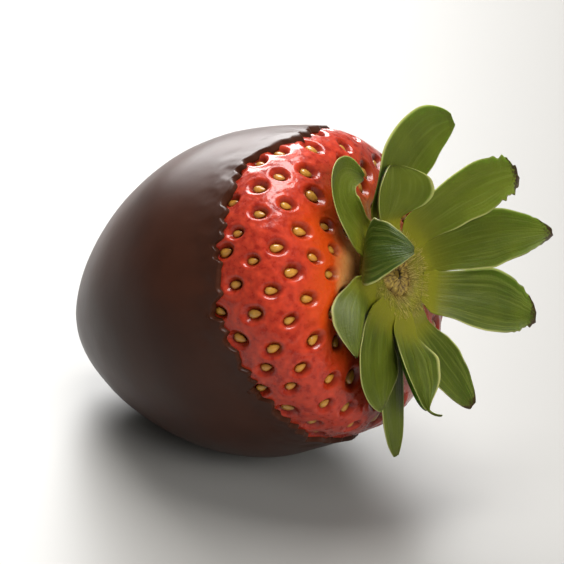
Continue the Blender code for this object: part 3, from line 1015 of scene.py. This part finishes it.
leaves = (
    # The last number of each leaf lightens or darkens its green: painted light and shade.
    # Lift and turn in degrees at the root and at the tip; lean makes the clockwise half wider.
    {"angle": 6.1, "length": 7.8, "width": 11.37, "layer": "upper", "lift": (38, 8.6),
     "turn": (1.6, 14.1), "cup": 0.44, "rootWidth": 0.54, "pointPower": 3.2, "paintedShading": 0.4},
    {"angle": 23.1, "length": 16.2, "width": 8.95, "layer": "lower", "lift": (22, 28.7),
     "turn": (5.5, 58.1), "bend": 1.1, "cup": -0.01, "lean": -0.5, "fold": 0.25, "rootWidth": 0.59,
     "pointPower": 2.2, "paintedShading": 0.25},
    {"angle": 57, "length": 17.4, "width": 6.6, "layer": "upper", "lift": (52, 12), "turn": (0, 52),
     "rootWidth": 0.75, "widest": 0.55, "pointPower": 2.6, "dried": 1, "ragged": 0.16, "paintedShading": 0.45},
    {"angle": 90.4, "length": 18.2, "width": 7.45, "layer": "lower", "lift": (48.3, 29.9),
     "turn": (0.7, 27.5), "cup": 0.19, "rootWidth": 0.63, "widest": 0.5, "pointPower": 1.35,
     "dried": 1, "ragged": 0.04, "paintedShading": 0.05},
    {"angle": 134.3, "length": 14.8, "width": 8.36, "layer": "upper", "lift": (50.1, 19.9),
     "turn": (-3.2, -1.2), "cup": 0.28, "lean": -0.15, "fold": -0.2, "rootWidth": 0.68,
     "widest": 0.58, "dried": 1, "ragged": 0.1, "paintedShading": -0.25},
    {"angle": 177, "length": 13.2, "width": 7.4, "layer": "lower", "lift": (15, 14),
     "turn": (0, -10), "cup": 0.05, "fold": 0.15, "rootWidth": 0.75, "widest": 0.55, "dried": 1,
     "paintedShading": -0.4},
    {"angle": 206.2, "length": 14, "width": 7.19, "layer": "upper", "lift": (16, 2.2),
     "turn": (4, -20.3), "cup": 0.39, "rootWidth": 0.64, "pleats": (4, 0.22), "thread": 0.22,
     "hook": (-75, 0.62, 0.95), "dried": 0.5, "paintedShading": -0.2},
    {"angle": 215.5, "length": 16.5, "width": 5.27, "layer": "lower", "lift": (-5.7, -14.9),
     "turn": (-5, -35.4), "cup": 0.03, "rootWidth": 0.69, "paintedShading": 0.0},
    {"angle": 242.7, "length": 12.4, "width": 8.22, "layer": "upper", "lift": (-0.3, -11.4),
     "turn": (-5.7, -74.4), "cup": 0.1, "rootWidth": 0.57, "pleats": (3, 0.12), "paintedShading": 0.0},
    {"angle": 274.6, "length": 10.6, "width": 5.63, "layer": "lower", "lift": (25.8, -5.3),
     "turn": (-22.6, -53.6), "cup": -0.2, "fold": -0.9, "rootWidth": 0.92, "widest": 0.4,
     "pointPower": 1.5, "paintedShading": 0.05},
    {"angle": 309.8, "length": 8.6, "width": 8.73, "layer": "upper", "lift": (-16.8, 138.8),
     "turn": (3.7, -1), "bend": 0.41, "cup": -0.01, "rootWidth": 0.65, "widest": 0.34,
     "pointPower": 1.2, "paintedShading": -0.3},
    {"angle": 333, "length": 17.2, "width": 5.6, "layer": "lower", "lift": (8, -12),
     "turn": (-8, -8), "cup": 0.1, "fold": 0.3, "rootWidth": 0.9, "widest": 0.35,
     "hook": (158, 0.18, 0.88), "paintedShading": 0.25},
)


def leafTrait(leaf, name):
    return leaf.get(name, leafForm[name])


def leafWidth(leaf, share):
    # Half widths as a share of the widest, from the wrapped base to the point or its thread.
    root, widest = leafTrait(leaf, "rootWidth"), leafTrait(leaf, "widest")
    blade = share / (1.0 - leaf.get("thread", 0.0))
    opening = mix(root, 1.0, smoothStep(blade / widest))
    past = np.clip((blade - widest) / (1.0 - widest), 0.0, 1.0)
    closing = (1.0 - past ** leafTrait(leaf, "pointPower")) ** leafForm["pointRoundness"]
    tucked = root * (1.0 + leafForm["tuckNarrowing"] * np.minimum(share, 0.0) / 0.2)
    width = np.where(blade < widest, opening, np.maximum(leafForm["tipWidth"], closing))
    return np.where(share < 0.0, np.maximum(tucked, 0.3), width)


def leafSpine(leaf):
    # X out from the calyx's middle, Y round it, Z along the axis. Returns the spine's points,
    # its sideways direction, and the share of the length, negative where the base is wrapped.
    share = np.linspace(0.0, 1.0, leafForm["spineRows"])
    swing = share ** leaf.get("bend", 1.0)
    turns = leaf.get("turn", (0, 0))
    hooked, start, end = leaf.get("hook", (0, 0.0, 1.0))
    hook = hooked * smoothStep((share - start) / (end - start))
    lift = np.radians(mix(leaf["lift"][0], leaf["lift"][1], swing))
    turn = np.radians(mix(turns[0], turns[1], swing) + hook)
    along = np.stack([np.cos(lift) * np.cos(turn), np.cos(lift) * np.sin(turn), np.sin(lift)], axis=-1)
    height, wrap = leafForm["layers"][leaf["layer"]]
    spine = np.zeros_like(along)
    spine[1:] = np.cumsum((along[1:] + along[:-1]) * 0.5 * leaf["length"] / (len(share) - 1), axis=0)
    spine += (leafForm["root"], 0.0, height)
    base = np.array([(radius, 0.0, level) for radius, level in wrap])
    baseShare = (base[:, 0] - leafForm["root"]) / leaf["length"]
    path = np.column_stack([
        np.concatenate([base, spine]),
        np.concatenate([np.full(len(base), turn[0]), turn]),
        np.concatenate([baseShare, share])])
    path = smoothRun(path, leafForm["spineRows"], leafForm["easing"])
    side = np.stack([-np.sin(path[:, 3]), np.cos(path[:, 3]), 0.0 * path[:, 3]], axis=-1)
    return path[:, :3], side, path[:, 4]


def leafRows(leaf, number):
    # The leaf's middle surface, the direction off its face, and what lies where on it.
    spine, side, share = leafSpine(leaf)
    along = np.gradient(spine, axis=0)
    up = np.cross(along, side)
    up /= np.linalg.norm(up, axis=1)[:, None]
    across = np.linspace(-1.0, 1.0, leafForm["acrossColumns"] + 1)
    half = 0.5 * leaf["width"] * leafWidth(leaf, share)
    wobble = np.array([[noise.noise(Vector((s * 6.0, edge * 5.0, number * 3.7))) for edge in (-1, 1)]
                       for s in share])
    tear = np.array([[noise.noise(Vector((s * 26.0, edge * 5.0, number * 9.1))) for edge in (-1, 1)]
                     for s in share])
    torn = leaf.get("ragged", 0.0) * smoothStep((share - 0.7) / 0.2)[:, None]
    grown = 1.0 + (leafForm["wander"] * wobble + 3.0 * torn * tear) * smoothStep(share / 0.3)[:, None]
    grown += leaf.get("lean", 0.0) * np.array([[-1.0, 1.0]])
    halves = half[:, None] * np.where(across[None, :] < 0, grown[:, :1], grown[:, 1:])
    free = smoothStep(share / 0.35)[:, None]
    blade = smoothStep((1.0 - share) / 0.4)[:, None]
    rising = leaf.get("cup", 0.25) * halves * across ** 2 * mix(0.3, 1.0, free)
    rising += leaf.get("fold", 0.0) * halves * (np.sqrt(across ** 2 + 0.02) - 0.14) * free
    pleats, depth = leaf.get("pleats", (2, 0.05))
    rising += depth * np.cos(math.pi * pleats * across + number) * free * blade
    ripple = np.sin(share[:, None] * leafForm["rippleCount"] + number + across * 1.5)
    rising += leafForm["marginWave"] * ripple * across ** 2 * free
    ridge = np.maximum(0.0, np.cos(math.pi * leafForm["veins"] * across)) ** 3 * blade
    points = spine[:, None] + side[:, None] * (halves * across)[..., None] + up[:, None] * rising[..., None]
    return points, up, share, across, ridge


def makeLeaf(number, leaf, material):
    points, up, share, across, ridge = leafRows(leaf, number)
    thin = mix(leafForm["thickness"], leafForm["edgeThickness"], across ** 4)[None, :]
    thin = thin * mix(1.0, 0.5, smoothStep(share))[:, None]
    off = up[:, None] * (0.5 * thin + leafForm["veinHeight"] * ridge)[..., None]
    # One tube of rows: over the top from edge to edge, and back along the underside.
    rows = np.concatenate([points + off, (points - off)[:, ::-1]], axis=1)
    angle = math.radians(leaf["angle"])
    out = np.array((-math.cos(angle), math.sin(angle), 0.0))
    around = np.array((math.sin(angle), math.cos(angle), 0.0))
    middle = np.array((fruit["neckDrop"], 0.0, fruit["neckHeight"]))
    rows = middle + rows[..., :1] * out + rows[..., 1:2] * around + rows[..., 2:] * (0.0, 0.0, 1.0)
    attributes = {
        "along": share[:, None],
        "across": np.concatenate([across, across[::-1]]),
        "under": np.repeat((0.0, 1.0), len(across)),
        "dried": leaf.get("dried", 0.3),
        "paintedShading": leaf["paintedShading"],
    }
    poles = [rows[0].mean(axis=0), rows[-1].mean(axis=0)]
    thing = closedMesh(f"sepal_leaf_{number:02d}", rows, poles, attributes)
    thing.data.materials.append(material)
    settle(thing, [f"sepal_{number:02d}"])


studio = {
    "azimuth": 30.5,
    "elevation": 27.4,
    "distance": 0.3615,
    "lens": 182.0,
    "roll": 3.6,            # degrees that the upright leans to the right in the frame
    "floor": "#888682",
    "floorSize": 4.0,
    "air": "#f4f3f1",
    "airStrength": 0.19,
    "overhead": {"place": (-0.06, 0.1, 0.72), "size": 0.4, "power": 5.5, "glossy": True},
    "window": {"place": (-0.48, 0.46, 0.42), "size": 0.52, "power": 10.5, "glossy": True},
    "fill": {"place": (0.6, -0.22, 0.42), "size": 0.5, "power": 6.0, "glossy": False},
}


def addSoftbox(name, target, place, size, power, glossy):
    light = bpy.data.lights.new(name, "AREA")
    light.size = size
    light.energy = power
    lamp = bpy.data.objects.new(name, light)
    lamp.location = place
    lamp.rotation_euler = (Vector(target) - Vector(place)).to_track_quat("-Z", "Y").to_euler()
    lamp.visible_glossy = glossy
    bpy.context.scene.collection.objects.link(lamp)


def makeFloor():
    # A plain floor that looks pale under the studio's strong light, and is slightly glossy.
    far = 0.5 * studio["floorSize"]
    corners = np.array([(-far, -far, 0.0), (far, -far, 0.0), (far, far, 0.0), (-far, far, 0.0)])
    floor = addObject("floor", corners, [(0, 1, 2, 3)], {})
    material, tree, shader = startMaterial("whiteGlaze")
    connect(tree, shader, {"Base Color": tint(studio["floor"]), "Roughness": 0.45})
    floor.data.materials.append(material)


def makeCamera(target):
    azimuth, elevation = math.radians(studio["azimuth"]), math.radians(studio["elevation"])
    level = math.cos(elevation)
    back = Vector((math.sin(azimuth) * level, -math.cos(azimuth) * level, math.sin(elevation)))
    camera = bpy.data.objects.new("camera", bpy.data.cameras.new("camera"))
    camera.data.lens = studio["lens"]
    camera.location = target + back * studio["distance"]
    upright = (-back).to_track_quat("-Z", "Y").to_matrix()
    camera.rotation_euler = (upright @ Matrix.Rotation(math.radians(studio["roll"]), 3, "Z")).to_euler()
    bpy.context.scene.collection.objects.link(camera)
    bpy.context.scene.camera = camera


def makeStudio():
    middle = (cadBox[0] + cadBox[1]) / 2
    makeFloor()
    world = bpy.data.worlds.new("studio")
    world.use_nodes = True
    background = world.node_tree.nodes["Background"]
    background.inputs["Color"].default_value = tint(studio["air"])
    background.inputs["Strength"].default_value = studio["airStrength"]
    bpy.context.scene.world = world
    for name in ("overhead", "window", "fill"):
        addSoftbox(name, middle, **studio[name])
    makeCamera(middle)
    bpy.context.scene.view_settings.view_transform = "Standard"
    print("studio ready")


relief = reliefTree()
makeSkin(relief, skinMaterial())
makeCoat(relief, chocolateMaterial())
makeSeeds(seedMaterial())
bpy.data.objects.remove(pitPlaces)
makeCollar(collarMaterial())
makeStub(stemMaterial())
makeHairs(hairMaterial())
leafGreen = leafMaterial()
for number, leaf in enumerate(leaves, start=1):
    makeLeaf(number, leaf, leafGreen)
makeStudio()
